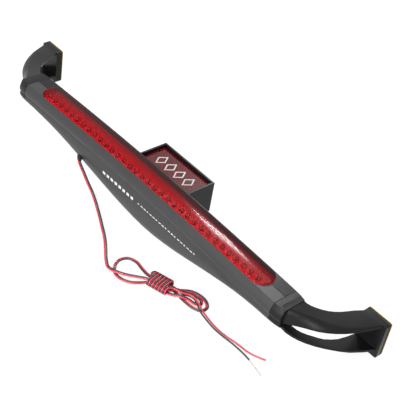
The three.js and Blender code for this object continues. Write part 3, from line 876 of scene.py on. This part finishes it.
def addOpticBed():
    clearSelection()
    bpy.ops.mesh.primitive_grid_add(
        x_subdivisions=opticBed["columns"], y_subdivisions=opticBed["rows"], size=1,
        location=placed((0, lamps["middleY"], opticBed["floor"])),
    )
    size = (2 * opticBed["reach"] * mm, 2 * opticBed["halfWidth"] * mm, 1)
    bed = startPiece("optic_bed", size)
    middleY = placed((0, lamps["middleY"], 0)).y
    for vertex in bed.data.vertices:
        side = (vertex.co.y - middleY) / (opticBed["halfWidth"] * mm)
        vertex.co.z = bedHeight(vertex.co.x / mm, side) * mm
    hole = (lamps["radius"] + opticBed["holeClearance"]) * mm
    low, high = (middleY + edge * mm for edge in opticBed["plainBand"])

    def overLamp(centre, normal):
        across = (centre.y - middleY) ** 2
        return any((centre.x - x * mm) ** 2 + across < hole ** 2 for x in lampX)

    pickFaces(bed, overLamp)
    bpy.ops.mesh.delete(type="FACE")
    bpy.ops.object.mode_set(mode="OBJECT")
    pickFaces(bed, lambda centre, normal: centre.y < low or centre.y > high)
    bpy.ops.mesh.poke(offset=opticBed["facetHeight"] * mm)
    bpy.ops.object.mode_set(mode="OBJECT")
    solid = bed.modifiers.new("thickness", "SOLIDIFY")
    solid.thickness = opticBed["thickness"] * mm
    solid.offset = -1
    pickOnly(bed)
    bpy.ops.object.modifier_apply(modifier=solid.name)
    clearSelection()
    bpy.ops.mesh.primitive_torus_add(
        major_radius=opticBed["collarRadius"] * mm, minor_radius=opticBed["collarTube"] * mm,
        major_segments=24, minor_segments=8,
        location=placed((lampX[0], lamps["middleY"], opticBed["floor"] + opticBed["collarRise"])),
    )
    collar = startPiece("collar")
    collars = [copyOf(collar, Vector(((x - lampX[0]) * mm, 0, 0))) for x in lampX[1:]]
    bed = joinPieces("optic_bed", [bed, collar] + collars)
    # the tray and its collars carry the reflector finish with its painted glow
    return finishPiece(
        bed, finishes["reflector_red"], ["reflector"], angle=20
    )


addOpticBed()
print("optic bed made")


# marks: plain diamonds on the small window, plain dashes on the belly

marks = {
    "diamondX": (-20.4, -6.8, 6.8, 20.4),
    "diamondWidth": 11,
    "diamondHeight": 17,
    "diamondY": 13.2,
    "stroke": 1.1,
    "windowTop": 40.7,
    "thickness": 0.12,
    "boldDashes": [(-50 + 6.4 * n, 3.9) for n in range(8)],
    "thinDashes": [(6 + 4.6 * n, 3.2 if n % 3 else 2.2) for n in range(19)],
    "boldHeight": 3,
    "thinHeight": 1,
    "dashZ": 25,
    "dashY": -35.7,
    "dashStandOff": 2,  # before it is laid on the shell
    "dashCuts": 3,
    "windowClear": 0.02,
    "shellClear": 0.05,
}


markPaint = addMaterial(
    "printWhite", (0.62, 0.62, 0.6), (0.74, 0.74, 0.72), 0.4, 0.55, bump=0.03
)


def addDiamonds():
    parts = []
    for x in marks["diamondX"]:
        clearSelection()
        bpy.ops.mesh.primitive_circle_add(
            vertices=4, radius=0.5, fill_type="NGON",
            location=placed((x, marks["diamondY"], marks["windowTop"] + marks["windowClear"])),
        )
        size = (marks["diamondWidth"] * mm, marks["diamondHeight"] * mm, 1)
        diamond = startPiece("diamond", size)
        pickFaces(diamond, lambda centre, normal: True)
        bpy.ops.mesh.inset(thickness=marks["stroke"] * mm, use_even_offset=True)
        bpy.ops.mesh.delete(type="FACE")
        bpy.ops.mesh.select_all(action="SELECT")
        bpy.ops.mesh.extrude_region_move(
            TRANSFORM_OT_translate={"value": (0, 0, marks["thickness"] * mm)})
        bpy.ops.object.mode_set(mode="OBJECT")
        parts.append(diamond)
    piece = joinPieces("window_marks", parts)
    return finishPiece(piece, markPaint)


def addDashes():
    parts = []
    rows = [(dash, marks["boldHeight"]) for dash in marks["boldDashes"]]
    rows += [(dash, marks["thinHeight"]) for dash in marks["thinDashes"]]
    standOff = marks["dashY"] - marks["dashStandOff"]
    for (x, width), height in rows:
        clearSelection()
        bpy.ops.mesh.primitive_plane_add(
            size=1, rotation=(math.radians(90), 0, 0),
            location=placed((x + width / 2, standOff, marks["dashZ"])),
        )
        dash = startPiece("dash", (width * mm, height * mm, 1))
        pickFaces(dash, lambda centre, normal: True)
        bpy.ops.mesh.subdivide(number_cuts=marks["dashCuts"])
        bpy.ops.object.mode_set(mode="OBJECT")
        parts.append(dash)
    piece = joinPieces("belly_dashes", parts)
    wrap = piece.modifiers.new("onShell", "SHRINKWRAP")
    wrap.target = nodes["belly_shell"]
    wrap.offset = marks["shellClear"] * mm
    solid = piece.modifiers.new("thickness", "SOLIDIFY")
    solid.thickness = marks["thickness"] * mm
    solid.offset = 1
    return finishPiece(piece, markPaint)


addDiamonds()
addDashes()
print("marks made")


# foam pads

pads = {
    "bevel": 1.6,
    "edge": 0.35,
    "cell": 0.45,
    "cloudScale": 0.0012,
    "unevenness": 0.12,
    "fill": 0.95,
}


def addPad(side):
    node = side + "_foam_pad"
    low, high = (Vector(v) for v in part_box(node))
    clearSelection()
    bpy.ops.mesh.primitive_cube_add(size=1, location=(low + high) / 2)
    pad = startPiece(node + "_piece", high - low)
    corners = []
    for edge in pad.data.edges:
        a, b = (pad.data.vertices[i].co for i in edge.vertices)
        if math.isclose(a.x, b.x, abs_tol=1e-6) and math.isclose(a.z, b.z, abs_tol=1e-6):
            corners.append(edge.index)
    bpy.ops.object.mode_set(mode="EDIT")
    bpy.ops.mesh.select_mode(type="EDGE")
    bpy.ops.mesh.select_all(action="DESELECT")
    bpy.ops.object.mode_set(mode="OBJECT")
    for index in corners:
        pad.data.edges[index].select = True
    bpy.ops.object.mode_set(mode="EDIT")
    bpy.ops.mesh.bevel(offset=pads["bevel"] * mm, segments=4)
    bpy.ops.mesh.select_all(action="SELECT")
    bpy.ops.mesh.bevel(offset=pads["edge"] * mm, segments=2)
    bpy.ops.object.mode_set(mode="OBJECT")
    remesh = pad.modifiers.new("cells", "REMESH")
    remesh.mode = "VOXEL"
    remesh.voxel_size = pads["cell"] * mm
    clouds = bpy.data.textures.new(node + "_cells", "CLOUDS")
    clouds.noise_scale = pads["cloudScale"]
    rough = pad.modifiers.new("unevenness", "DISPLACE")
    rough.texture = clouds
    rough.strength = pads["unevenness"] * mm
    rough.mid_level = 1
    finishPiece(pad, finishes["foam"], [node], side + "_arm", angle=60)
    return pad


for side in ("right", "left"):
    addPad(side)
print("pads made")

bpy.context.view_layer.update()
